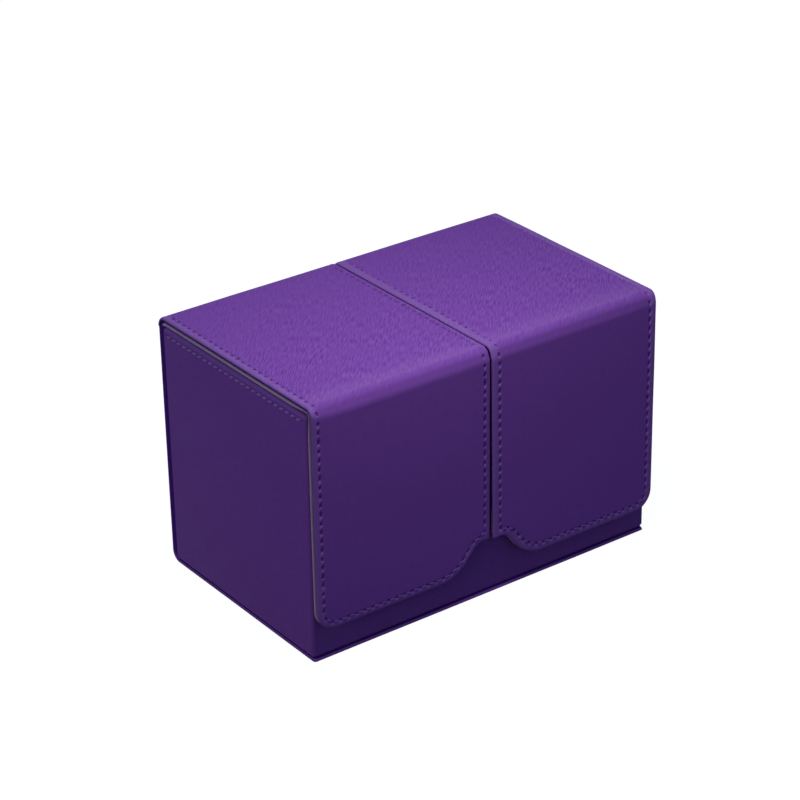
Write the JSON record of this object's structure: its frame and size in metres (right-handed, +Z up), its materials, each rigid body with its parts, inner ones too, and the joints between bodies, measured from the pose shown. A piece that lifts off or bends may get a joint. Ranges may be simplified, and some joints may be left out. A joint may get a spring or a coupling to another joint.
{
  "type": "card storage box",
  "caption": "Wrapped-board card box with side-by-side bays under separate lids, each lid ending in a magnetic front flap, with a finger notch between the flaps.",
  "frame": {"origin": "centre of the underside of the closed box's bounding box, on the surface the box stands on", "axes": "+X to the right across both bays when the flaps are faced, -Y towards the flaps, +Z up"},
  "size_m": [0.158, 0.1, 0.1045],
  "materials": {
    "purple_skin": "satin",
    "greyboard": "matte",
    "grey_lining": "matte",
    "magnet": "satin"
  },
  "bodies": {
    "box": {"base_skin": "purple_skin", "back_skin": "purple_skin", "back_board": "greyboard", "back_lining": "grey_lining", "lower_fold_skin": "purple_skin", "left_wall_board": "greyboard", "right_wall_board": "greyboard", "front_wall_board": "greyboard", "rear_wall_board": "greyboard", "floor_board": "greyboard", "divider_board": "greyboard", "divider_cap": "purple_skin", "body_skin": "purple_skin", "left_bay_lining": "grey_lining", "right_bay_lining": "grey_lining", "left_wall_magnet_1": "magnet", "left_wall_magnet_2": "magnet", "right_wall_magnet_1": "magnet", "right_wall_magnet_2": "magnet", "left_rear_fold_skin": "purple_skin", "left_rear_fold_lining": "grey_lining", "right_rear_fold_skin": "purple_skin", "right_rear_fold_lining": "grey_lining"},
    "left_lid": {"left_lid_skin": "purple_skin", "left_lid_board": "greyboard", "left_lid_lining": "grey_lining", "left_front_fold_skin": "purple_skin", "left_front_fold_lining": "grey_lining"},
    "left_flap": {"left_flap_skin": "purple_skin", "left_flap_board": "greyboard", "left_flap_lining": "grey_lining", "left_flap_magnet_1": "magnet", "left_flap_magnet_2": "magnet"},
    "right_lid": {"right_lid_skin": "purple_skin", "right_lid_board": "greyboard", "right_lid_lining": "grey_lining", "right_front_fold_skin": "purple_skin", "right_front_fold_lining": "grey_lining"},
    "right_flap": {"right_flap_skin": "purple_skin", "right_flap_board": "greyboard", "right_flap_lining": "grey_lining", "right_flap_magnet_1": "magnet", "right_flap_magnet_2": "magnet"}
  },
  "joints": [
    {"name": "left_lid_hinge", "type": "hinge", "parent": "box", "child": "left_lid", "pos_m": [-0.0398, 0.05, 0.1045], "axis": [-1, 0, 0], "range_deg": [0, 175], "deforming": ["left_rear_fold_skin", "left_rear_fold_lining"]},
    {"name": "left_flap_hinge", "type": "hinge", "parent": "left_lid", "child": "left_flap", "pos_m": [-0.0398, -0.04871, 0.10321], "axis": [-1, 0, 0], "range_deg": [0, 90], "deforming": ["left_front_fold_skin", "left_front_fold_lining"]},
    {"name": "right_lid_hinge", "type": "hinge", "parent": "box", "child": "right_lid", "pos_m": [0.0398, 0.05, 0.1045], "axis": [-1, 0, 0], "range_deg": [0, 175], "deforming": ["right_rear_fold_skin", "right_rear_fold_lining"]},
    {"name": "right_flap_hinge", "type": "hinge", "parent": "right_lid", "child": "right_flap", "pos_m": [0.0398, -0.04871, 0.10321], "axis": [-1, 0, 0], "range_deg": [0, 90], "deforming": ["right_front_fold_skin", "right_front_fold_lining"]}
  ]
}
